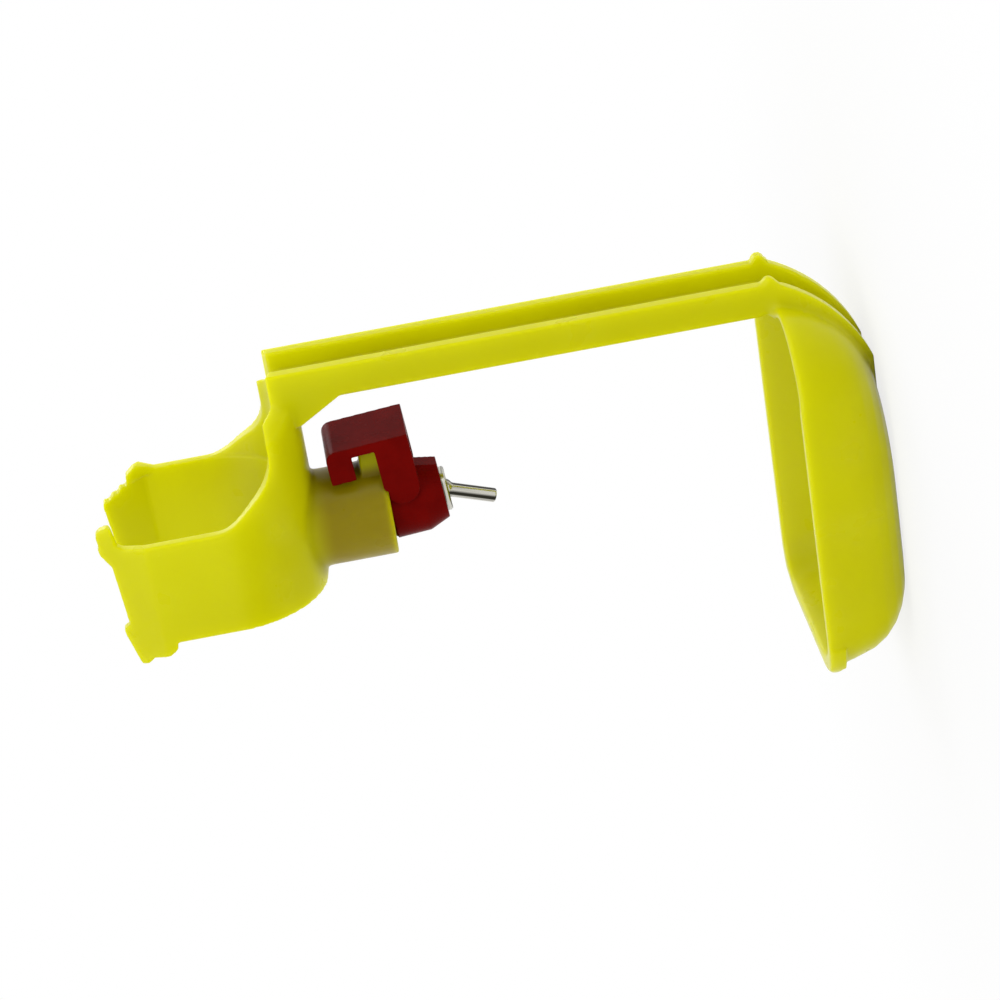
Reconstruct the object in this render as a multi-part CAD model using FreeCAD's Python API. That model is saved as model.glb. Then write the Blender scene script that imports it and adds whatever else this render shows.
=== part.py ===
"""Poultry nipple drinker: clip-on saddle, neck, arm and drip cup in one moulding, with a
plugged-in nipple valve.

Frame: +Z up as the drinker hangs in use.  The origin is where the axis of the water pipe
(along Y) crosses the axis of the nipple (along Z).  The arm stands on the +Y side and the cup
opens upward below the trigger pin.  Lengths are in millimetres.
"""
import FreeCAD
import Part
import math
import os

V = FreeCAD.Vector

# ---------------------------------------------------------------- driving dimensions
# saddle clip
PIPE_R = 12.5                 # the round water pipe
PIPE_CLEAR = 0.25             # radial play of the pipe in the saddle
OUTSIDE_DROP = 1.7            # middle of the saddle's round outside, below the pipe axis
SADDLE_OUT = 14.4             # round outside and half the width over the walls
SADDLE_BACK = 9.25            # from the nipple axis to the end face away from the arm
SADDLE_FRONT = 7.3            # to the end face on the arm side
SHEET_RELIEF = 0.4            # the sheet towards the arm stands clear of the pipe
SADDLE_TOP = 15.1             # free edge of the plain lip
SERRATED_RISE = 0.6           # the serrated lip stands higher
SADDLE_TOP_SLOPE = 4.5        # degrees, the free edges fall away from the arm
SHOULDER_TOP = -0.2           # where the wall's end face starts to sweep down
SHOULDER_SLOPE = 52.0         # degrees down towards the arm
SHOULDER_R = 7.0              # both bends of that sweep
ROOT_EDGE_Z = -10.5           # level edge where the sheet meets the arm
ROOT_HALF = 0.4               # half the sheet's straight end, between its plan corners
LIP_START = 10.2              # where the lips lean inward
LIP_HIGH = 5.6                # height over which the lips lean in
LIP_IN_PLAIN = 2.0            # how far the lip on +X leans in
LIP_IN_SERRATED = 5.0         # how far the lip on -X leans in
FINGER_OUT = 3.7              # finger at the arm end of the plain lip
FINGER_HIGH = 2.45
FINGER_RISE = 1.6
LUG_OUT = 3.2                 # lug at the other end of the plain lip
LUG_REACH = 6.9               # along the lip
LUG_RISE = 1.0
LUG_TIP = 1.5
LUG_STEP = 2.0
LUG_HIGH = 6.0
TEETH = 3                     # serrated end of the other lip
TOOTH_DEEP = 0.7
TOOTH_SHIFT = 0.38            # each tooth stands further back
NUB_OUT = 1.1                 # nub at the foot of the serrations
NUB_HIGH = 2.1
NUB_BACK = 1.25               # root of the serrations behind the wall's end face

# neck and latch lug
NECK_R = 7.5
NECK_END = -27.2              # open face of the neck
LUG_HALF = 3.0
LUG_TOP = 11.4
LUG_LONG = 3.3
LUG_BACK = 0.3                # lug face inside the neck's open face

# arm
ARM_HALF = 5.4
ARM_IN = 22.0                 # inner face of the web
ARM_OUT = 27.0                # free edges of the flanges
ARM_TOP = -11.7
WEB_WALL = 2.0
FLANGE_WALL = 2.1
GUSSET_DROP = 7.4
GUSSET_IN = 3.9

# cup
RIM_Z = -89.0
CUP_DEEP = 14.1
CUP_HALF = 19.4               # outside, at the rim
CUP_END = -35.2               # outside, at the rim
CUP_WALL = 1.9
CUP_FLOOR = 2.0
CUP_ARM_CORNER_R = 13.0        # plan corners below the arm
CUP_CORNER_R = 7.5            # plan corners at the rim
CUP_SIDE_TAPER = 2.6          # how far the side walls lean in
CUP_END_TAPER = 2.6           # how far the end wall leans in
CUP_HEEL_R = 18.0             # heel below the arm
CUP_FOOT_R = 5.5              # rounding from the side walls into the floor
CUP_TOE_R = 9.0               # rounding from the end wall into the floor
RIB_HEEL_R = 25.8             # the flanges' own bend round the heel
RIB_HEEL_Y = 3.4              # middle of that bend
RIB_HEEL_UP = 10.1            # above the rim
RIM_LIP = 0.9
RIM_LIP_HIGH = 2.6
BEAD_R = 1.1                  # beads on the flange edges at the rim

# nipple body
PLAY = 0.05                   # running clearance, radial
STEM_R = 5.3
NECK_PLAY = 0.15              # around the neck, under the loop
PLUG_PLAY = 0.42              # the plug's stem in the neck, radial
PLUG_COCK = 4.2               # degrees, the latch loop pulls the nose towards the arm
STEM_TOP = -17.4
BODY_R = 5.65
BODY_LONG = 5.2
NOSE_R = 4.4
NOSE_CHAMFER = 3.2
BORE_R = 3.0
RIB_RISE = 0.35               # over the body at its back end
RIB_FALL = 0.7                # under the body's line at the nose
RIB_HALF = 1.6                # key that carries the loop's line on to the nose
LOOP_HALF = 5.8
LOOP_TOP = 13.1 
LOOP_UNDER = 11.6
LOOP_BACK = -19.6
LOOP_FRONT = -32.4
LOOP_WALL = 1.25
HOOK_LONG = 3.8
HOOK_FOOT = 7.8
STRAP_LONG = 5.4
STRAP_FOOT = 2.0
LOOP_ROUND = 1.6

# valve
SEAT_FLANGE_R = 3.45
SEAT_FLANGE = 0.8
SEAT_LIP_UP = 0.1             # narrowest ring above the steel face
SEAT_BORE_R = 2.5
PIN_R = 1.1 
PIN_BALL_R = 1.6
PIN_PIVOT_UP = 0.8            # ball centre above the steel face
PIN_REACH = 7.5               # pin below the steel face, measured straight
PIN_TIP_CHAMFER = 0.35
PIN_TILT = 24.0               # degrees, the loose pin leans away from the arm
UPPER_SEAT_LONG = 1.8
UPPER_SEAT_HOLE_R = 1.5
UPPER_SEAT_Z = -28.6          # top face
VALVE_HEAD_R = 2.2
VALVE_HEAD_LONG = 1.6
VALVE_TAIL_R = 1.0
VALVE_GAP = 0.1               # tail above the ball
RING_HOLE_R = 1.9
RING_LONG = 1.0
O_RING_R = 0.64               # section radius
O_RING_SIDES = 12             # flats that stand for the round section
O_RING_Z = -21.9
SEAL_HOLE_R = 3.4
SEAL_R = 6.2
SEAL_THICK = 2.4
SEAL_PROUD = 0.05             # the bare seal stands into the pipe's play
STEM_HEADROOM = 0.55          # above the plug's stem

# ---------------------------------------------------------------- derived places
SADDLE_IN = PIPE_R + PIPE_CLEAR
FLOOR_Z = -SADDLE_IN
UNDERSIDE_Z = -OUTSIDE_DROP - SADDLE_OUT
SEAL_Z = FLOOR_Z + SEAL_PROUD - SEAL_THICK
ROOT_Y = ARM_IN + 0.6         # end of the saddle's sheet, inside the arm's web
CUP_BASE = RIM_Z - CUP_DEEP
BODY_END = NECK_END - BODY_LONG
NOSE_END = BODY_END - NOSE_CHAMFER
STEEL_FACE = NOSE_END - SEAT_FLANGE
PIVOT_Z = STEEL_FACE + PIN_PIVOT_UP
NECK_BORE_R = STEM_R + PLUG_PLAY
O_GROOVE_R = NECK_BORE_R - 2 * O_RING_R - 0.02


# ---------------------------------------------------------------- helpers
def box(x0, x1, y0, y1, z0, z1):
    """Block between two corners."""
    return Part.makeBox(x1 - x0, y1 - y0, z1 - z0, V(x0, y0, z0))


def rod(radius, z0, z1):
    """Cylinder on the nipple axis."""
    return Part.makeCylinder(radius, z1 - z0, V(0, 0, z0), V(0, 0, 1))


def cone(r0, r1, z0, z1):
    """Cone on the nipple axis, radius r0 at z0 and r1 at z1."""
    return Part.makeCone(r0, r1, z1 - z0, V(0, 0, z0), V(0, 0, 1))


def face(edges):
    """Plane face inside a closed run of edges."""
    return Part.Face(Part.Wire(Part.__sortEdges__(edges)))


def polygon(points):
    """Plane face inside straight sides."""
    return Part.Face(Part.makePolygon(list(points) + [points[0]]))


def line(a, b):
    return Part.LineSegment(a, b).toShape()


def arc(a, middle, b):
    return Part.Arc(a, middle, b).toShape()


def revolve(points):
    """Solid of revolution about the nipple axis; points are (radius, height)."""
    ring = polygon([V(r, 0, z) for r, z in points])
    return ring.revolve(V(0, 0, 0), V(0, 0, 1), 360)


def rounded_rectangle(half, y0, y1, r0, r1, z):
    """Closed wire in a level plane; corner radius r0 at the y0 end and r1 at the y1 end."""
    corners = [(half, y0, 1, -1, r0), (half, y1, 1, 1, r1), (-half, y1, -1, 1, r1),
               (-half, y0, -1, -1, r0)]
    starts, edges = [], []
    for index, (x, y, sx, sy, radius) in enumerate(corners):
        k = radius * (1 - math.sqrt(0.5))
        along_x = V(x - sx * radius, y, z)
        along_y = V(x, y - sy * radius, z)
        middle = V(x - sx * k, y - sy * k, z)
        first, last = (along_x, along_y) if index % 2 == 0 else (along_y, along_x)
        starts.append((first, middle, last))
    for index, (first, middle, last) in enumerate(starts):
        edges.append(arc(first, middle, last))
        edges.append(line(last, starts[(index + 1) % 4][0]))
    return Part.Wire(edges)


# ---------------------------------------------------------------- yellow moulding
def channel(radius, y0, y1):
    """Room for the pipe: round below and straight above."""
    top = 2 * SADDLE_TOP
    room = Part.makeCylinder(radius, y1 - y0, V(0, y0, 0), V(0, 1, 0))
    return room.fuse(box(-radius, radius, y0, y1, 0, top))


def sheet_outline():
    """Saddle and sheet seen along X, up to where the lips start."""
    turn = math.radians(SHOULDER_SLOPE)
    reach = SHOULDER_R * math.tan((math.pi / 2 - turn) / 2)
    half = (math.pi / 2 - turn) / 2
    low_reach = SHOULDER_R * math.tan(turn / 2)
    knee = V(0, SADDLE_FRONT, SHOULDER_TOP - reach)
    run = (knee.z - ROOT_EDGE_Z) / math.tan(turn)
    foot = V(0, SADDLE_FRONT + run, ROOT_EDGE_Z)
    down = V(0, math.cos(turn), -math.sin(turn))
    start = knee + V(0, 0, reach)
    end = knee + down * reach
    middle = V(0, SADDLE_FRONT + SHOULDER_R - SHOULDER_R * math.cos(half),
               start.z - SHOULDER_R * math.sin(half))
    low_start = foot - down * low_reach
    low_end = foot + V(0, low_reach, 0)
    low_middle = V(0, low_end.y - SHOULDER_R * math.sin(turn / 2),
                   ROOT_EDGE_Z + SHOULDER_R - SHOULDER_R * math.cos(turn / 2))
    top = LIP_START + 0.5
    back = -SADDLE_BACK
    deep = -2 * SADDLE_OUT
    return face([
        line(V(0, back, deep), V(0, back, top)), line(V(0, back, top), V(0, SADDLE_FRONT, top)),
        line(V(0, SADDLE_FRONT, top), start), arc(start, middle, end), line(end, low_start),
        arc(low_start, low_middle, low_end), line(low_end, V(0, ROOT_Y, ROOT_EDGE_Z)),
        line(V(0, ROOT_Y, ROOT_EDGE_Z), V(0, ROOT_Y, deep)),
        line(V(0, ROOT_Y, deep), V(0, back, deep))])


def lip(side, lean, outline):
    """Leaning lip along the saddle; side is 1 or -1 along X, outline is seen along X."""
    height = LIP_HIGH
    wall = SADDLE_OUT - SADDLE_IN
    tilt = math.atan2(lean, height)
    reach = 1.6
    far_x = SADDLE_OUT - reach * lean
    far_z = LIP_START + reach * height
    section = polygon([
        V(side * SADDLE_IN, 0, LIP_START - 1), V(side * SADDLE_OUT, 0, LIP_START - 1),
        V(side * SADDLE_OUT, 0, LIP_START), V(side * far_x, 0, far_z),
        V(side * (far_x - wall * math.cos(tilt)), 0, far_z - wall * math.sin(tilt)),
        V(side * SADDLE_IN, 0, LIP_START - wall * math.tan(tilt / 2))])
    bar = section.extrude(V(0, 60, 0))
    bar.translate(V(0, -30, 0))
    trim = polygon(outline).extrude(V(60, 0, 0))
    trim.translate(V(-30, 0, 0))
    return bar.common(trim)


def saddle():
    """Saddle clip with its lips and the sheet that sweeps down to the arm."""
    bar = Part.makeCylinder(SADDLE_OUT, ROOT_Y + SADDLE_BACK, V(0, -SADDLE_BACK, -OUTSIDE_DROP),
                            V(0, 1, 0))
    bar = bar.fuse(box(-SADDLE_OUT, SADDLE_OUT, -SADDLE_BACK, ROOT_Y, -OUTSIDE_DROP, LIP_START))
    keep = sheet_outline().extrude(V(60, 0, 0))
    keep.translate(V(-30, 0, 0))
    body = bar.common(keep)
    plan = box(-SADDLE_OUT - 1, SADDLE_OUT + 1, -SADDLE_BACK - 1, ROOT_Y, -40, 40)
    corners = [e for e in plan.Edges
               if e.BoundBox.YMin > ROOT_Y - 0.01 and e.BoundBox.ZLength > 1]
    body = body.common(plan.makeFillet(SADDLE_OUT - ROOT_HALF, corners))
    body = body.cut(channel(SADDLE_IN, -2 * SADDLE_BACK, SADDLE_FRONT))

    slope = math.tan(math.radians(SADDLE_TOP_SLOPE))
    back, front = -SADDLE_BACK, SADDLE_FRONT
    low = LIP_START - 0.8
    lug_y = back - LUG_OUT + LUG_REACH
    lug_z = SADDLE_TOP + slope * lug_y
    tip_z = lug_z - 0.5
    step_y = back - LUG_STEP
    step_z = tip_z - LUG_HIGH
    reach = front + FINGER_OUT
    high = SADDLE_TOP + slope * front + FINGER_RISE
    plain = [
        V(0, front, low), V(0, front, high - FINGER_HIGH - 1.0),
        V(0, front + 0.5, high - FINGER_HIGH - 0.5), V(0, reach - 0.3, high - FINGER_HIGH),
        V(0, reach, high - FINGER_HIGH + 0.4), V(0, reach - 0.5, high - 0.8),
        V(0, reach - 1.1, high - 0.15), V(0, reach - 1.9, high), V(0, front - 0.9, high - 0.4),
        V(0, front - 1.9, high - 1.05), V(0, front - 3.0, SADDLE_TOP + slope * (front - 3.0)),
        V(0, lug_y, lug_z), V(0, lug_y - 0.8, lug_z + LUG_RISE),
        V(0, lug_y - 1.4, lug_z + LUG_RISE), V(0, back - LUG_OUT + 0.25, tip_z),
        V(0, back - LUG_OUT, tip_z - 0.6), V(0, back - LUG_OUT + 0.3, tip_z - LUG_TIP),
        V(0, step_y - 0.2, tip_z - LUG_TIP - 0.6), V(0, step_y, low), V(0, back, low)]
    y = front - NUB_BACK
    z = LIP_START + NUB_HIGH
    pitch = (SADDLE_TOP + SERRATED_RISE + slope * y - z) / TEETH
    serrated = [
        V(0, back, low), V(0, front, low), V(0, front + NUB_OUT, LIP_START),
        V(0, front + NUB_OUT, z - 1.3), V(0, front + 0.4, z), V(0, y, z)]
    for tooth in range(TEETH):
        tip = y + TOOTH_DEEP - TOOTH_SHIFT
        z += pitch
        y -= TOOTH_SHIFT
        serrated.append(V(0, tip, z))
        serrated.append(V(0, y, z + 0.15))
    serrated.append(V(0, back, SADDLE_TOP + SERRATED_RISE + slope * back))
    step = polygon([V(0, back + 1, step_z), V(0, back - 0.9, step_z), V(0, step_y + 0.5, step_z + 0.5),
                    V(0, step_y, low + 0.1), V(0, back + 1, low + 0.1)])
    step = step.extrude(V(SADDLE_OUT - SADDLE_IN, 0, 0))
    step.translate(V(SADDLE_IN, 0, 0))
    nub = polygon([V(0, front - 1, low - 1.6), V(0, front, low - 1.6),
                   V(0, front + NUB_OUT, LIP_START), V(0, front - 1, LIP_START)])
    nub = nub.extrude(V(SADDLE_IN - SADDLE_OUT, 0, 0))
    nub.translate(V(-SADDLE_IN, 0, 0))
    return body.fuse([lip(1, LIP_IN_PLAIN, plain), lip(-1, LIP_IN_SERRATED, serrated), step, nub])


def neck():
    """Neck with the lug that the nipple's loop snaps over."""
    barrel = rod(NECK_R, NECK_END, FLOOR_Z - 1)
    face_z = NECK_END + LUG_BACK
    lug = box(-LUG_HALF, LUG_HALF, NECK_R - 2, LUG_TOP, face_z, face_z + LUG_LONG)
    ramp = Part.makePolygon([V(0, LUG_TOP + 1, face_z - 1), V(0, LUG_TOP + 1, face_z + 2),
                             V(0, LUG_TOP - 2.4, face_z - 1), V(0, LUG_TOP + 1, face_z - 1)])
    wedge = Part.Face(ramp).extrude(V(4 * LUG_HALF, 0, 0))
    wedge.translate(V(-2 * LUG_HALF, 0, 0))
    return barrel.fuse(lug.cut(wedge))


def arm():
    """Channel arm, open outward, with the corner web under the saddle."""
    bottom = RIM_Z - 1
    web = box(-ARM_HALF, ARM_HALF, ARM_IN, ARM_IN + WEB_WALL, bottom, ARM_TOP)
    flanges = [box(x, x + FLANGE_WALL, ARM_IN, ARM_OUT, bottom, ARM_TOP)
               for x in (-ARM_HALF, ARM_HALF - FLANGE_WALL)]
    corner = polygon([V(0, ARM_IN + 0.5, UNDERSIDE_Z - GUSSET_DROP),
                      V(0, ARM_IN + 0.5, UNDERSIDE_Z + 1), V(0, ARM_IN - GUSSET_IN, UNDERSIDE_Z + 1),
                      V(0, ARM_IN - GUSSET_IN, UNDERSIDE_Z)])
    gusset = corner.extrude(V(2 * ARM_HALF, 0, 0))
    gusset.translate(V(-ARM_HALF, 0, 0))
    return web.fuse(flanges + [gusset])


def cup_profile(depth, inset):
    """Outline sizes of the cup at a depth below the rim, drawn in by a wall."""
    deep = CUP_DEEP
    share = depth / deep
    # heel under the arm: plain, then a quarter round
    heel_start = deep - CUP_HEEL_R
    heel = max(0.0, depth - heel_start)
    heel_in = CUP_HEEL_R - math.sqrt(max(0.0, CUP_HEEL_R ** 2 - heel ** 2))
    # foot: leaning walls that round off into the floor
    foot = max(0.0, depth - (deep - CUP_FOOT_R))
    foot_in = CUP_FOOT_R - math.sqrt(max(0.0, CUP_FOOT_R ** 2 - foot ** 2))
    half = CUP_HALF - CUP_SIDE_TAPER * share - 0.8 * foot_in
    toe = max(0.0, depth - (deep - CUP_TOE_R))
    toe_in = CUP_TOE_R - math.sqrt(max(0.0, CUP_TOE_R ** 2 - toe ** 2))
    y0 = CUP_END + CUP_END_TAPER * share + toe_in
    y1 = ARM_IN + WEB_WALL - heel_in
    radius = CUP_CORNER_R - 1.5 * share
    return half - inset, y0 + inset, y1 - inset, radius - 0.6 * inset


def cup_body(inset, depth):
    """Closed bowl form from the rim down to a depth."""
    steps = [0.0, 0.3, 0.55, 0.7, 0.82, 0.91, 0.97, 1.0]
    wires = []
    for step in steps:
        level = depth * step
        half, y0, y1, radius = cup_profile(level * CUP_DEEP / depth, inset)
        arm_radius = min(CUP_ARM_CORNER_R, half - 0.5) - 0.6 * inset
        wires.append(rounded_rectangle(half, y0, y1, radius, arm_radius, RIM_Z - level))
    return Part.makeLoft(wires, True, True)


def cup():
    """Drip cup with the heel ribs that carry on from the arm's flanges."""
    outside = cup_body(0.0, CUP_DEEP)
    inside = cup_body(CUP_WALL, CUP_DEEP - CUP_FLOOR)
    return outside, inside


def heel_ribs():
    """Flanges carried round the heel of the cup, dying out under the floor."""
    middle = V(0, RIB_HEEL_Y, RIM_Z + RIB_HEEL_UP)
    edge = []
    for height in (RIM_Z + 1, RIM_Z - 0.5 * CUP_DEEP, CUP_BASE):
        drop = middle.z - height
        edge.append(V(0, middle.y + math.sqrt(RIB_HEEL_R ** 2 - drop ** 2), height))
    inner = V(0, ARM_IN, RIM_Z + 1)
    foot = V(0, ARM_IN + WEB_WALL - CUP_HEEL_R, CUP_BASE)
    edges = [arc(edge[0], edge[1], edge[2]), line(edge[2], foot), line(foot, inner),
             line(inner, edge[0])]
    plate = face(edges)
    ribs = []
    for x in (-ARM_HALF, ARM_HALF - FLANGE_WALL):
        rib = plate.extrude(V(FLANGE_WALL, 0, 0))
        rib.translate(V(x, 0, 0))
        bead = Part.makeCylinder(BEAD_R, FLANGE_WALL, V(x, ARM_OUT, RIM_Z + 0.4), V(1, 0, 0))
        ribs += [rib, bead]
    return ribs


def drip_cup_bracket():
    """The whole yellow moulding."""
    outside, inside = cup()
    rim = rounded_rectangle(CUP_HALF, CUP_END - RIM_LIP, CUP_END + 20, CUP_CORNER_R, 5, RIM_Z)
    rim = Part.Face(rim).extrude(V(0, 0, -RIM_LIP_HIGH))
    rim = rim.common(box(-CUP_HALF - 1, CUP_HALF + 1, CUP_END - 2, CUP_END + 6, RIM_Z - 9, RIM_Z))
    shape = saddle().fuse([neck(), arm(), outside, rim] + heel_ribs())
    shape = shape.cut(inside)
    shape = shape.cut(channel(SADDLE_IN + SHEET_RELIEF, SADDLE_FRONT, 2 * ARM_OUT))
    # bore for the stem, water passage, and pocket for the pipe seal
    shape = shape.cut(rod(NECK_BORE_R, NECK_END - 1, STEM_TOP + STEM_HEADROOM))
    shape = shape.cut(rod(SEAL_HOLE_R, STEM_TOP - 1, 0))
    shape = shape.cut(rod(SEAL_R + PLAY, SEAL_Z, 0))
    return shape.removeSplitter()


# ---------------------------------------------------------------- nipple
def in_nipple(shape):
    """Turn a piece made on the Z axis with the plug, which rocks on its O-ring."""
    shape.rotate(V(0, 0, O_RING_Z), V(1, 0, 0), PLUG_COCK)
    return shape


def nipple_body():
    """Red moulding: stem, body, nose and hollow latch loop."""
    stem = rod(STEM_R, NECK_END - 0.5, STEM_TOP)
    body = rod(BODY_R, BODY_END, NECK_END)
    nose = cone(NOSE_R, BODY_R, NOSE_END, BODY_END)
    groove = rod(NECK_R + 2, O_RING_Z - O_RING_R - 0.05, O_RING_Z + O_RING_R + 0.05)
    groove = groove.cut(rod(O_GROOVE_R, O_RING_Z - 2, O_RING_Z + 2))
    core = stem.fuse([body, nose]).cut(groove)

    block = box(-LOOP_HALF, LOOP_HALF, STRAP_FOOT, LOOP_TOP, LOOP_FRONT, LOOP_BACK)
    back_top = [e for e in block.Edges
                if e.BoundBox.YMin > LOOP_TOP - 0.01 and e.BoundBox.ZMin > LOOP_BACK - 0.01]
    block = block.makeFillet(LOOP_ROUND, back_top)
    hollow = box(-LOOP_HALF + LOOP_WALL, LOOP_HALF - LOOP_WALL, STRAP_FOOT - 1,
                 LOOP_TOP - LOOP_WALL, LOOP_FRONT - 1, LOOP_BACK - LOOP_WALL)
    window = box(-LOOP_HALF - 1, LOOP_HALF + 1, STRAP_FOOT - 1, LOOP_UNDER,
                 LOOP_FRONT + STRAP_LONG, LOOP_BACK - HOOK_LONG)
    under_hook = box(-LOOP_HALF - 1, LOOP_HALF + 1, STRAP_FOOT - 1, HOOK_FOOT,
                     LOOP_FRONT + STRAP_LONG, LOOP_BACK + 1)
    over_neck = rod(NECK_R + NECK_PLAY, NECK_END, LOOP_BACK + 1)
    loop = block.cut([hollow, window, under_hook, over_neck])
    # round foot of each strap
    strap_mid = LOOP_FRONT + STRAP_LONG / 2
    blank = box(-LOOP_HALF - 1, LOOP_HALF + 1, STRAP_FOOT - 1, STRAP_FOOT + STRAP_LONG / 2,
                LOOP_FRONT - 1, LOOP_FRONT + STRAP_LONG + 0.01)
    disc = Part.makeCylinder(STRAP_LONG / 2, 2 * LOOP_HALF + 4,
                             V(-LOOP_HALF - 2, STRAP_FOOT + STRAP_LONG / 2, strap_mid),
                             V(1, 0, 0))
    loop = loop.cut(blank.cut(disc))

    rib_back = BODY_END + 1.2
    rib = polygon([V(0, 0, rib_back), V(0, BODY_R + RIB_RISE, rib_back),
                   V(0, BODY_R - RIB_FALL, NOSE_END), V(0, 0, NOSE_END)])
    rib = rib.extrude(V(2 * RIB_HALF, 0, 0))
    rib.translate(V(-RIB_HALF, 0, 0))
    shape = core.fuse([loop, rib])
    shape = shape.cut(rod(BORE_R, PIVOT_Z, STEM_TOP + 1))
    shape = shape.cut(rod(BORE_R, NOSE_END - 1, PIVOT_Z))
    shape = in_nipple(shape.removeSplitter())
    # the cocked plug stays clear of the neck's wall
    wall = rod(NECK_R + NECK_PLAY, NECK_END - 0.02, 0).cut(rod(NECK_BORE_R - 0.02, NECK_END - 1, 1))
    return shape.cut(wall)


def seat_insert():
    """Steel seat: flange on the nose, sleeve in the bore, round socket under the ball."""
    socket = PIN_BALL_R + PLAY
    low = PIN_PIVOT_UP - SEAT_LIP_UP
    lip_r = math.sqrt(socket ** 2 - low ** 2)
    sleeve_top = PIVOT_Z + PIN_BALL_R
    ring = revolve([
        (lip_r + SEAT_LIP_UP, STEEL_FACE), (SEAT_FLANGE_R - 0.25, STEEL_FACE),
        (SEAT_FLANGE_R, STEEL_FACE + 0.25), (SEAT_FLANGE_R, NOSE_END), (BORE_R, NOSE_END),
        (BORE_R, sleeve_top), (SEAT_BORE_R, sleeve_top), (SEAT_BORE_R, PIVOT_Z),
        (lip_r, PIVOT_Z), (lip_r, STEEL_FACE + SEAT_LIP_UP)])
    ring = ring.cut(Part.makeSphere(socket, V(0, 0, PIVOT_Z)))
    return in_nipple(ring)


def trigger_pin():
    """Trigger pin with a ball head, leaning away from the arm in its seat."""
    tip = STEEL_FACE - PIN_REACH
    shaft = rod(PIN_R, tip + PIN_TIP_CHAMFER, PIVOT_Z)
    tip_cone = cone(PIN_R - PIN_TIP_CHAMFER, PIN_R, tip, tip + PIN_TIP_CHAMFER)
    ball = Part.makeSphere(PIN_BALL_R, V(0, 0, PIVOT_Z))
    pin = ball.fuse([shaft, tip_cone])
    pin.rotate(V(0, 0, PIVOT_Z), V(1, 0, 0), -PIN_TILT)
    return in_nipple(pin)


def upper_seat():
    """Steel ring that the valve stem closes on."""
    low = UPPER_SEAT_Z - UPPER_SEAT_LONG
    return in_nipple(revolve([(UPPER_SEAT_HOLE_R, low), (BORE_R, low), (BORE_R, UPPER_SEAT_Z),
                    (UPPER_SEAT_HOLE_R + 0.4, UPPER_SEAT_Z), (UPPER_SEAT_HOLE_R, UPPER_SEAT_Z - 0.4)]))


def valve_stem():
    """Upper pin: head on the upper seat, tail just over the trigger pin's ball."""
    low = PIVOT_Z + PIN_BALL_R + VALVE_GAP
    seat = UPPER_SEAT_Z + 0.02
    return in_nipple(revolve([(0, low), (VALVE_TAIL_R - 0.2, low), (VALVE_TAIL_R, low + 0.2),
                    (VALVE_TAIL_R, seat), (VALVE_HEAD_R, seat),
                    (VALVE_HEAD_R, seat + VALVE_HEAD_LONG - 0.5),
                    (VALVE_HEAD_R - 0.5, seat + VALVE_HEAD_LONG), (0, seat + VALVE_HEAD_LONG)]))


def retaining_ring():
    """Steel ring at the stem's inlet."""
    top = STEM_TOP - 0.5
    return in_nipple(revolve([(RING_HOLE_R, top - RING_LONG), (BORE_R, top - RING_LONG), (BORE_R, top),
                    (RING_HOLE_R, top)]))


def stem_o_ring():
    """Rubber ring in the stem's groove."""
    middle = NECK_BORE_R - O_RING_R - 0.01
    section = []
    for side in range(O_RING_SIDES):
        turn = 2 * math.pi * (side + 0.5) / O_RING_SIDES
        section.append((middle + O_RING_R * math.cos(turn), O_RING_Z + O_RING_R * math.sin(turn)))
    return in_nipple(revolve(section))


def pipe_seal():
    """Rubber washer in the saddle's floor."""
    top = FLOOR_Z + SEAL_PROUD
    return revolve([(SEAL_HOLE_R, SEAL_Z), (SEAL_R, SEAL_Z), (SEAL_R, top - 0.4),
                    (SEAL_R - 0.4, top), (SEAL_HOLE_R + 0.4, top), (SEAL_HOLE_R, top - 0.4)])


NODES = {
    "drip_cup_bracket": drip_cup_bracket,
    "nipple_body": nipple_body,
    "seat_insert": seat_insert,
    "trigger_pin": trigger_pin,
    "upper_seat": upper_seat,
    "valve_stem": valve_stem,
    "retaining_ring": retaining_ring,
    "stem_o_ring": stem_o_ring,
    "pipe_seal": pipe_seal,
}

os.makedirs("parts", exist_ok=True)
for name, make in NODES.items():
    shape = make()
    shape.exportStep("parts/" + name + ".step")
    print(name, len(shape.Solids), "solid", round(shape.Volume, 2), "mm3", shape.isValid())
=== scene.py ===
import math

import bmesh
import bpy
from mathutils import Matrix, Vector


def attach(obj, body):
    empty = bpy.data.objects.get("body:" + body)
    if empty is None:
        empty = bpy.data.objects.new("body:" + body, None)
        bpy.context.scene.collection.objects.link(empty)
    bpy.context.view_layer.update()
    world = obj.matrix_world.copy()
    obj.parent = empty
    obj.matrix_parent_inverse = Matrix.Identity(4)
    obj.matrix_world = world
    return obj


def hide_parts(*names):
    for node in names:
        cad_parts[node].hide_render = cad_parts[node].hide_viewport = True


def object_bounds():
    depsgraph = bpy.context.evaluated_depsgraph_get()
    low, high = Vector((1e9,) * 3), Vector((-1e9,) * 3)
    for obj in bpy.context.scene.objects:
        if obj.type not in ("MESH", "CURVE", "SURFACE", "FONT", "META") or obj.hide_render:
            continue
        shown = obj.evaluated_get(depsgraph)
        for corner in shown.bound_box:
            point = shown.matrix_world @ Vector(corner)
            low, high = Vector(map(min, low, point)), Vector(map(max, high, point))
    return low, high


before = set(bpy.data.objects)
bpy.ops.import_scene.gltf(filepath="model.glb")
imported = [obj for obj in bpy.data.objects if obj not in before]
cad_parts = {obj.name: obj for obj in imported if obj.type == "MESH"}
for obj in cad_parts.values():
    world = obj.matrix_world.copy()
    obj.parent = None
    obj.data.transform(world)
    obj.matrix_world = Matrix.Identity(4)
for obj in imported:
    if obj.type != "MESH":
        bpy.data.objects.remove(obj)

MM = 0.001
CAD_LOW, CAD_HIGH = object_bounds()

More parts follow.
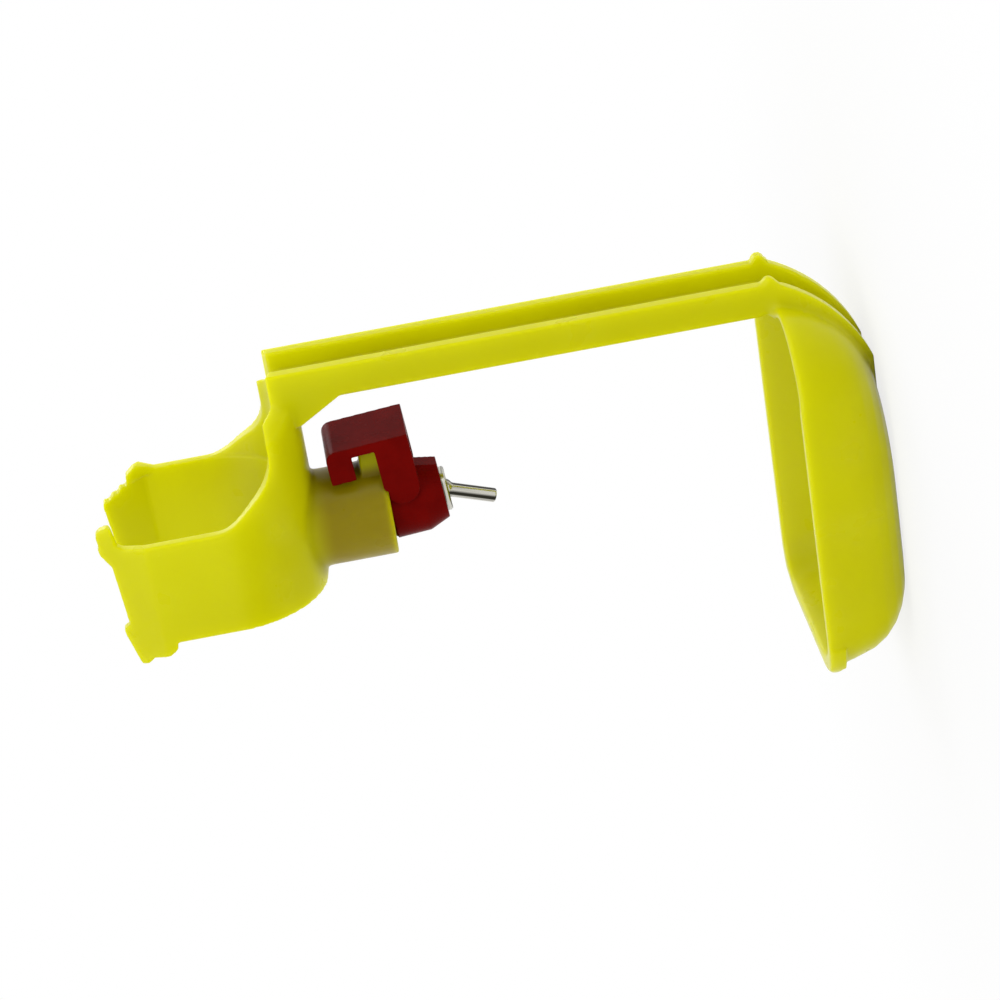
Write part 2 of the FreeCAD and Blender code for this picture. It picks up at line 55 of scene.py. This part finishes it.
# ---------------------------------------------------------------- places of the CAD forms
# the neck, and the plug that rocks about its O-ring in it
NECK_R = 7.5 * MM
NECK_END = -27.2 * MM
STEM_TOP = -17.4 * MM
O_RING_Z = -21.9 * MM
PLUG_COCK = math.radians(4.2)
# the trigger pin; its heights count from the middle of its ball
PIVOT_Z = -35.6 * MM
PIN_LEAN = math.radians(24.0)
PIN_R = 1.1 * MM
PIN_ROUND = 0.4 * MM
PIN_TIP = -8.3 * MM
PIN_TOP = -1.35 * MM
PIN_BALL_R = 1.6 * MM
PIN_BALL_FOOT_R = 1.18 * MM
# the saddle round the pipe
SADDLE_IN = 12.75 * MM
SADDLE_OUT = 14.4 * MM
SADDLE_MIDDLE = -1.7 * MM
# the cup's rim, and the arc of the two ribs on its heel
RIM_Z = -89.0 * MM
RIB_HEEL_R = 25.8 * MM
RIB_HEEL_Y = 3.4 * MM
RIB_HEEL_UP = 10.1 * MM
# the saddle's lips, in millimetres: they lean in from a height on
LIP_OUT = 14.4
LIP_WALL = 1.6
LIP_STRAIGHT = 10.0
LIP_BEND = 10.2
LIP_RISE = 5.6


# ---------------------------------------------------------------- node helpers
class Nodes:
    """Short way to build one node tree."""

    def __init__(self, tree, kind):
        self.tree = tree
        self.tree.nodes.clear()
        self.out = self.add("ShaderNodeOutput" + kind)

    def add(self, kind, **values):
        node = self.tree.nodes.new(kind)
        for key, value in values.items():
            setattr(node, key, value)
        return node

    def link(self, a, b):
        self.tree.links.new(a, b)

    def math(self, operation, *values):
        node = self.add("ShaderNodeMath", operation=operation)
        for socket, value in zip(node.inputs, values):
            if isinstance(value, (int, float)):
                socket.default_value = value
            else:
                self.link(value, socket)
        return node.outputs[0]

    def product(self, first, *others):
        for other in others:
            first = self.math("MULTIPLY", first, other)
        return first

    def span(self, value, low, high, to_low=0.0, to_high=1.0, smooth=True):
        """A value's way from low to high, as a number from to_low to to_high."""
        node = self.add("ShaderNodeMapRange")
        node.interpolation_type = "SMOOTHSTEP" if smooth else "LINEAR"
        for key, number in (("From Min", low), ("From Max", high), ("To Min", to_low),
                            ("To Max", to_high)):
            node.inputs[key].default_value = number
        self.link(value, node.inputs["Value"])
        return node.outputs["Result"]

    def seen(self):
        """1 where the camera sees a thing directly, in a mirror or through clear matter."""
        path = self.add("ShaderNodeLightPath").outputs
        seen = self.math("MAXIMUM", path["Is Glossy Ray"], path["Is Transmission Ray"])
        return self.math("MAXIMUM", path["Is Camera Ray"], seen)


class Surface(Nodes):
    """One material on the usual shader, in the piece's own coordinates."""

    def __init__(self, name):
        self.material = bpy.data.materials.new(name)
        self.material.use_nodes = True
        super().__init__(self.material.node_tree, "Material")
        self.shader = self.add("ShaderNodeBsdfPrincipled")
        self.link(self.shader.outputs["BSDF"], self.out.inputs["Surface"])
        self.place = self.add("ShaderNodeTexCoord").outputs["Object"]

    def axes(self, place=None):
        node = self.add("ShaderNodeSeparateXYZ")
        self.link(place or self.place, node.inputs[0])
        return node.outputs

    def from_axis(self, x, y):
        squares = self.math("ADD", self.product(x, x), self.product(y, y))
        return self.math("SQRT", squares)

    def noise(self, scale, detail=2.0, rough=0.5, place=None):
        node = self.add("ShaderNodeTexNoise")
        node.inputs["Scale"].default_value = scale
        node.inputs["Detail"].default_value = detail
        node.inputs["Roughness"].default_value = rough
        self.link(place or self.place, node.inputs["Vector"])
        return node.outputs["Fac"]

    def stretch(self, scale, turn, middle=(0.0, 0.0, 0.0)):
        """Coordinates from a middle point, turned back about X, then scaled."""
        node = self.add("ShaderNodeMapping", vector_type="TEXTURE")
        node.inputs["Location"].default_value = middle
        node.inputs["Rotation"].default_value = (turn, 0.0, 0.0)
        node.inputs["Scale"].default_value = [1.0 / share for share in scale]
        self.link(self.place, node.inputs["Vector"])
        return node.outputs["Vector"]

    def mix(self, factor, a, b):
        node = self.add("ShaderNodeMix", data_type="RGBA")
        for key, value in (("Factor", factor), ("A", a), ("B", b)):
            socket = next(s for s in node.inputs if s.name == key and s.enabled)
            if isinstance(value, tuple):
                socket.default_value = value + (1.0,)
            else:
                self.link(value, socket)
        return next(s for s in node.outputs if s.enabled)

    def bump(self, height, strength, distance, before=None):
        node = self.add("ShaderNodeBump")
        node.inputs["Strength"].default_value = strength
        node.inputs["Distance"].default_value = distance
        self.link(height, node.inputs["Height"])
        if before is not None:
            self.link(before, node.inputs["Normal"])
        return node.outputs["Normal"]

    def finish(self, colour, rough, normal, **values):
        """Links the three textures and sets the plain numbers."""
        for key, output in (("Base Color", colour), ("Roughness", rough), ("Normal", normal)):
            if output is not None:
                self.link(output, self.shader.inputs[key])
        for key, value in values.items():
            self.shader.inputs[key.replace("_", " ")].default_value = value
        return self.material


def linear(*display):
    """Linear colour from 0-255 display values."""
    shares = [value / 255.0 for value in display]
    return tuple(c / 12.92 if c <= 0.04045 else ((c + 0.055) / 1.055) ** 2.4 for c in shares)


# ---------------------------------------------------------------- materials
def yellow_plastic():
    """Soft yellow polyethylene, slightly see-through; painted shade turns the neck olive round
    the plug's stem.
    """
    n = Surface("yellow_plastic")
    cloud = n.span(n.noise(38.0, 3.0), 0.35, 0.65, 0.0, 0.5)
    colour = n.mix(cloud, linear(201, 200, 2), linear(193, 190, 2))
    fleck = n.span(n.noise(900.0, 2.0), 0.70, 0.80, 0.0, 0.15)
    colour = n.mix(fleck, colour, linear(218, 216, 50))

    x, y, z = n.axes()
    # painted shade: the neck darkens towards olive round the plug's stem, less at the neck's end
    near = n.span(n.from_axis(x, y), NECK_R + 0.2 * MM, NECK_R + 2.2 * MM, 1.0, 0.0)
    low = n.span(z, STEM_TOP - 1.0 * MM, STEM_TOP + 5.0 * MM, 1.0, 0.0)
    foot = n.span(z, NECK_END - 0.1 * MM, NECK_END + 1.2 * MM, 0.55, 1.0)
    above = n.span(z, NECK_END - 2.0 * MM, NECK_END - 0.2 * MM)
    colour = n.mix(n.product(near, low, foot, above, 0.86), colour, linear(134, 113, 4))

    rough = n.span(n.noise(160.0, 3.0), 0.3, 0.7, 0.27, 0.38)
    wave = n.bump(n.noise(120.0, 1.0), 0.12, 0.4 * MM)
    grain = n.bump(n.noise(2600.0, 2.0), 0.10, 0.05 * MM, wave)
    return n.finish(colour, rough, grain, IOR=1.5, Specular_IOR_Level=0.18,
                    Subsurface_Weight=1.0, Subsurface_Scale=5.0 * MM,
                    Subsurface_Radius=(1.0, 0.97, 0.15))


def red_plastic():
    """Glossy red moulding."""
    n = Surface("red_plastic")
    cloud = n.span(n.noise(220.0, 3.0), 0.3, 0.7)
    colour = n.mix(cloud, linear(110, 7, 4), linear(98, 5, 3))
    fleck = n.span(n.noise(1500.0, 2.0), 0.72, 0.80, 0.0, 0.12)
    colour = n.mix(fleck, colour, linear(140, 40, 34))
    rough = n.span(n.noise(420.0, 3.0), 0.3, 0.7, 0.20, 0.30)
    wave = n.bump(n.noise(260.0, 1.0), 0.12, 0.15 * MM)
    grain = n.bump(n.noise(3000.0, 2.0), 0.07, 0.03 * MM, wave)
    return n.finish(colour, rough, grain, IOR=1.4, Specular_IOR_Level=0.02)


def steel_finish(n, line, dark, streaks_and_painted_reflections):
    # dark marks: turned lines on the plug's steel; on the pin, streaks plus painted reflections
    colour = n.mix(streaks_and_painted_reflections, linear(204, 202, 192), dark)
    rough = n.span(line, 0.3, 0.7, 0.14, 0.30)
    return n.finish(colour, rough, n.bump(line, 0.14, 0.02 * MM), Metallic=1.0)


def turned_steel():
    """Stainless steel with fine lines round the plug's axis."""
    n = Surface("stainless_turned")
    line = n.noise(900.0, 3.0, 0.6, n.stretch((0.15, 0.15, 6.0), PLUG_COCK))
    return steel_finish(n, line, linear(104, 102, 90), n.span(line, 0.44, 0.60))


def pin_steel():
    """Polished stainless steel with fine dark streaks along the pin, and four wide dark bands
    along it that are painted reflections.
    """
    n = Surface("stainless_pin")
    turn = PLUG_COCK - PIN_LEAN
    line = n.noise(260.0, 3.0, 0.6, n.stretch((6.0, 6.0, 0.12), turn))
    drop = PIVOT_Z - O_RING_Z
    ball = (0.0, -drop * math.sin(PLUG_COCK), O_RING_Z + drop * math.cos(PLUG_COCK))
    x, y, z = n.axes(n.stretch((1.0, 1.0, 1.0), turn, ball))
    # painted reflections: four wide dark bands along the pin, at fixed angles round its axis
    side = n.math("MINIMUM", n.math("ABSOLUTE", x), n.math("ABSOLUTE", y))
    side = n.math("MULTIPLY_ADD", line, 0.5 * MM, side)
    streaks_and_painted_reflections = n.math("MAXIMUM", n.span(line, 0.44, 0.60, 0.0, 0.5),
                    n.span(side, 0.42 * MM, 0.72 * MM, 1.0, 0.0))
    return steel_finish(n, line, linear(46, 45, 38), streaks_and_painted_reflections)


def black_rubber():
    n = Surface("black_rubber")
    cloud = n.noise(500.0, 3.0)
    colour = n.mix(cloud, (0.018, 0.018, 0.018), (0.035, 0.034, 0.033))
    rough = n.span(cloud, 0.3, 0.7, 0.62, 0.80)
    grain = n.bump(n.noise(2500.0, 2.0), 0.2, 0.03 * MM)
    return n.finish(colour, rough, grain, Specular_IOR_Level=0.3)


YELLOW = yellow_plastic()
RED = red_plastic()
TURNED_STEEL = turned_steel()
PIN_STEEL = pin_steel()
RUBBER = black_rubber()
LOOKS = {
    YELLOW: ("drip_cup_bracket",),
    RED: ("nipple_body",),
    PIN_STEEL: ("trigger_pin",),
    TURNED_STEEL: ("seat_insert", "upper_seat", "valve_stem", "retaining_ring"),
    RUBBER: ("stem_o_ring", "pipe_seal"),
}
for material, nodes in LOOKS.items():
    for node in nodes:
        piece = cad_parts[node]
        for slot in piece.material_slots:
            slot.material = material
        if not piece.material_slots:
            piece.data.materials.append(material)


# ---------------------------------------------------------------- mouldings
def object_from(work, name, place=None):
    """Object with the mesh of a bmesh."""
    mesh = bpy.data.meshes.new(name)
    work.to_mesh(mesh)
    work.free()
    if place is not None:
        mesh.transform(place)
    piece = bpy.data.objects.new(name, mesh)
    bpy.context.collection.objects.link(piece)
    return piece


def settle(piece):
    """Applies a piece's modifiers."""
    graph = bpy.context.evaluated_depsgraph_get()
    graph.update()
    mesh = bpy.data.meshes.new_from_object(piece.evaluated_get(graph))
    piece.modifiers.clear()
    piece.data = mesh


def smooth(piece, passes, group=""):
    step = piece.modifiers.new("round", "SMOOTH")
    step.factor = 0.5
    step.iterations = passes
    step.vertex_group = group


def dress(piece, node, body, material):
    """Gives a finished piece its material and puts it in its node's place."""
    piece.data.materials.clear()
    piece.data.materials.append(material)
    piece.data.shade_smooth()
    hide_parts(node)
    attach(piece, body)


def moulding(node, material, voxel, passes, faces, more=(), soft=None, soft_passes=0):
    """The solid's own form with the small roundings that a mould leaves on every edge."""
    work = bmesh.new()
    for mesh in (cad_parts[node].data,) + tuple(more):
        work.from_mesh(mesh)
    piece = object_from(work, node + "_moulding")
    remesh = piece.modifiers.new("remesh", "REMESH")
    remesh.mode = "VOXEL"
    remesh.voxel_size = voxel
    settle(piece)
    if soft:
        group = piece.vertex_groups.new(name="soft")
        for vertex in piece.data.vertices:
            weight = soft(vertex.co)
            if weight > 0.0:
                group.add([vertex.index], weight, "REPLACE")
        smooth(piece, soft_passes, "soft")
    smooth(piece, passes)
    thin = piece.modifiers.new("thin", "DECIMATE")
    thin.ratio = min(1.0, faces / (2.0 * len(piece.data.polygons)))
    settle(piece)
    dress(piece, node, "bracket", material)


def fade(value, start, end):
    """1 before start, 0 after end, smooth between."""
    share = min(1.0, max(0.0, (value - start) / (end - start)))
    return 1.0 - share * share * (3.0 - 2.0 * share)


def rise(value, start, end):
    """0 before start, 1 after end, smooth between."""
    return 1.0 - fade(value, start, end)


def sheet_soft(co):
    """The outside of the saddle's sheet, which runs smoothly into the arm's flanges."""
    x, y, z = abs(co.x), co.y, co.z
    if y < 6.5 * MM or y > 25 * MM or z < -26 * MM:
        return 0.0
    edge = max(-11.0 * MM, -3.0 * MM - 1.28 * (y - 7.3 * MM))
    weight = rise(math.hypot(x, z), SADDLE_IN + 0.5 * MM, SADDLE_IN + 1.1 * MM)
    weight *= rise(edge - z, 0.2 * MM, 1.0 * MM)
    weight *= rise(y, 7.0 * MM, 9.5 * MM) * fade(y, 22.5 * MM, 24.5 * MM)
    weight *= rise(x, 4.2 * MM, 5.2 * MM)
    if x < 6.2 * MM:
        corner_web = (y - 18.1 * MM) * 0.885 + (z + 16.1 * MM) * 0.466
        weight *= rise(corner_web, 0.5 * MM, 1.6 * MM)
    return weight


def neck_root_soft(co):
    """The neck's root under the saddle."""
    radius = math.hypot(co.x, co.y)
    out = math.hypot(co.x, co.z - SADDLE_MIDDLE) - SADDLE_OUT
    if out <= -0.4 * MM or radius <= NECK_R - 0.4 * MM or co.z <= -20 * MM:
        return 0.0
    root = 0.4 * fade(radius, NECK_R + 1.2 * MM, NECK_R + 2.6 * MM)
    return root * fade(out, 1.6 * MM, 2.8 * MM)


def rib_foot_soft(co):
    """The foot of the two heel ribs on the cup."""
    if co.y <= 10 * MM or abs(co.x) <= 4.7 * MM:
        return 0.0
    drop = RIB_HEEL_R - math.hypot(co.y - RIB_HEEL_Y, co.z - RIM_Z - RIB_HEEL_UP)
    return rise(drop, 0.6 * MM, 1.5 * MM) * rise(co.y, 10 * MM, 14 * MM)


def bracket_soft(co):
    """How much of the wide rounding a point of the yellow moulding takes."""
    weight = max(sheet_soft(co), neck_root_soft(co))
    if co.z >= RIM_Z + 2.0 * MM:
        return weight
    weight = max(weight, rib_foot_soft(co))
    if co.y < 20 * MM:
        rim = 0.15 * fade(-co.z, -RIM_Z + 0.6 * MM, -RIM_Z + 1.4 * MM)
        weight = max(weight, rim)
    cup_tip = 0.8 * fade(co.y, CAD_LOW.y + 1.6 * MM, CAD_LOW.y + 2.8 * MM)
    weight = max(weight, cup_tip)
    if co.x > 3.0 * MM:
        # the worn bead is on one flange only
        near = math.hypot(co.y - CAD_HIGH.y + 1.1 * MM, co.z - RIM_Z - 0.4 * MM)
        weight = max(weight, 0.3 * fade(near, 1.4 * MM, 2.4 * MM))
    return weight


def on_lip(side, lean, outline):
    """Mesh of a plate that is as thick as the saddle's wall and leans in as the lip does."""
    work = bmesh.new()
    outer, inner = [], []
    for y, z in outline:
        x = LIP_OUT - lean * max(0.0, z - LIP_BEND) / LIP_RISE
        wall = LIP_WALL
        if z >= LIP_STRAIGHT:
            wall /= math.cos(math.atan2(lean, LIP_RISE))
        outer.append(work.verts.new((side * x * MM, y * MM, z * MM)))
        inner.append(work.verts.new((side * (x - wall) * MM, y * MM, z * MM)))
    work.faces.new(outer)
    work.faces.new(list(reversed(inner)))
    for index in range(len(outline)):
        after = (index + 1) % len(outline)
        work.faces.new((outer[after], outer[index], inner[index], inner[after]))
    bmesh.ops.recalc_face_normals(work, faces=work.faces)
    mesh = bpy.data.meshes.new("on_lip")
    work.to_mesh(mesh)
    work.free()
    return mesh


# the finger at the arm end of the plain lip and the nub below the serrations
FINGER = on_lip(1, 2.0, [
    (6.6, 12.9), (7.3, 13.2), (7.8, 14.05), (10.7, 14.55), (11.0, 14.95), (10.5, 16.2),
    (9.9, 16.82), (9.1, 16.97), (6.6, 16.6)])
NUB = on_lip(-1, 5.0, [
    (6.6, 8.0), (7.3, 7.8), (8.4, 10.2), (8.4, 11.0), (7.7, 12.3), (6.6, 12.3)])
moulding("drip_cup_bracket", YELLOW, 0.25 * MM, 3, 190000, (FINGER, NUB), bracket_soft, 160)
moulding("nipple_body", RED, 0.14 * MM, 2, 150000)


# ---------------------------------------------------------------- trigger pin
def arc(radius, height, size, start, turn, steps):
    """Points of an arc round a middle point, as (radius, height); angles in radians."""
    angles = [start + turn * step / steps for step in range(steps + 1)]
    return [(radius + size * math.cos(angle), height + size * math.sin(angle))
            for angle in angles]


def turned(name, profile, place, sides=64):
    """Closed piece of revolution from (radius, height) points; it starts and ends on the axis."""
    work = bmesh.new()
    rings = []
    for radius, height in profile:
        if radius == 0.0:
            rings.append([work.verts.new((0.0, 0.0, height))])
            continue
        turns = [2.0 * math.pi * side / sides for side in range(sides)]
        rings.append([work.verts.new((radius * math.cos(turn), radius * math.sin(turn), height))
                      for turn in turns])
    for lower, upper in zip(rings, rings[1:]):
        for side in range(sides):
            after = (side + 1) % sides
            corners = [lower[side % len(lower)], lower[after % len(lower)],
                       upper[after % len(upper)], upper[side % len(upper)]]
            work.faces.new(list(dict.fromkeys(corners)))
    bmesh.ops.remove_doubles(work, verts=work.verts, dist=0.0005 * MM)
    bmesh.ops.recalc_face_normals(work, faces=work.faces)
    return object_from(work, name, place)


ball_foot = -math.acos(PIN_BALL_FOOT_R / PIN_BALL_R)
profile = [(0.0, PIN_TIP)]
profile += arc(PIN_R - PIN_ROUND, PIN_TIP + PIN_ROUND, PIN_ROUND, -math.pi / 2, math.pi / 2, 5)
profile.append((PIN_R, PIN_TOP))
profile += arc(0.0, 0.0, PIN_BALL_R, ball_foot, math.pi / 2 - ball_foot, 12)[:-1]
profile.append((0.0, PIN_BALL_R))
plug = Matrix.Translation((0, 0, O_RING_Z)) @ Matrix.Rotation(PLUG_COCK, 4, "X")
lean = Matrix.Translation((0, 0, PIVOT_Z - O_RING_Z)) @ Matrix.Rotation(-PIN_LEAN, 4, "X")
dress(turned("trigger_pin_polished", profile, plug @ lean), "trigger_pin", "trigger", PIN_STEEL)


# ---------------------------------------------------------------- stage
def lamp(name, place, target, size, power):
    """Round lamp that faces its target."""
    data = bpy.data.lights.new(name, "AREA")
    data.shape = "DISK"
    data.size = size
    data.energy = power
    thing = bpy.data.objects.new(name, data)
    bpy.context.collection.objects.link(thing)
    thing.location = place
    thing.rotation_mode = "QUATERNION"
    thing.rotation_quaternion = (target - place).to_track_quat("-Z", "Y")


def white_world(light):
    """Even light on the object, in front of plain white."""
    world = bpy.data.worlds.new("studio")
    bpy.context.scene.world = world
    world.use_nodes = True
    n = Nodes(world.node_tree, "World")
    back = n.add("ShaderNodeBackground")
    back.inputs["Color"].default_value = (1.0, 1.0, 1.0, 1.0)
    n.link(n.span(n.seen(), 0.0, 1.0, light, 1.0, smooth=False), back.inputs["Strength"])
    n.link(back.outputs[0], n.out.inputs["Surface"])


def floor(size, gap):
    """White floor under the cup; it takes the object's shadow and fades into the background."""
    bpy.ops.mesh.primitive_plane_add(size=size, location=(0, 0, CAD_LOW.z - gap))
    thing = bpy.context.object
    thing.name = "floor"
    n = Surface("floor_white")
    n.finish(None, None, None, Base_Color=(0.9, 0.9, 0.9, 1.0), Roughness=0.9,
             Specular_IOR_Level=0.1)
    x, y, z = n.axes()
    white = n.span(n.from_axis(x, y), 0.03, 0.16, 0.80, 1.0)
    blend = n.add("ShaderNodeMixShader")
    n.link(n.product(n.seen(), white), blend.inputs[0])
    n.link(n.shader.outputs[0], blend.inputs[1])
    n.link(n.add("ShaderNodeEmission").outputs[0], blend.inputs[2])
    n.link(blend.outputs[0], n.out.inputs["Surface"])
    thing.data.materials.append(n.material)


MIDDLE = (CAD_LOW + CAD_HIGH) / 2
white_world(0.77)
floor(60.0, 0.05 * MM)
lamp("key", MIDDLE + Vector((0.60, 0.20, 0.80)), MIDDLE, 0.60, 2.3)
lamp("side", MIDDLE + Vector((0.15, 0.46, -0.12)), MIDDLE, 0.30, 0.45)
lamp("back", MIDDLE + Vector((-0.40, 0.20, 0.25)), MIDDLE, 0.30, 0.6)

# ---------------------------------------------------------------- camera
# its three directions, the frame's origin along them, and its focal length over its width
RIGHT = Vector((0.118684, -0.146201, -0.982110))
DOWN = Vector((0.437321, -0.880303, 0.183895))
AHEAD = Vector((-0.891439, -0.451322, -0.040541))
ORIGIN = (-43.5099 * MM, 5.6504 * MM, 520.5037 * MM)
FOCAL = 3.4
SENSOR = 36.0
camera = bpy.data.objects.new("camera", bpy.data.cameras.new("camera"))
bpy.context.collection.objects.link(camera)
place = -(RIGHT * ORIGIN[0] + DOWN * ORIGIN[1] + AHEAD * ORIGIN[2])
turn = Matrix((RIGHT, -DOWN, -AHEAD)).transposed()
camera.matrix_world = Matrix.Translation(place) @ turn.to_4x4()
camera.data.sensor_width = SENSOR
camera.data.lens = SENSOR * FOCAL
camera.data.clip_start = 0.02
camera.data.clip_end = 20.0
bpy.context.scene.camera = camera
bpy.context.scene.view_settings.view_transform = "Standard"
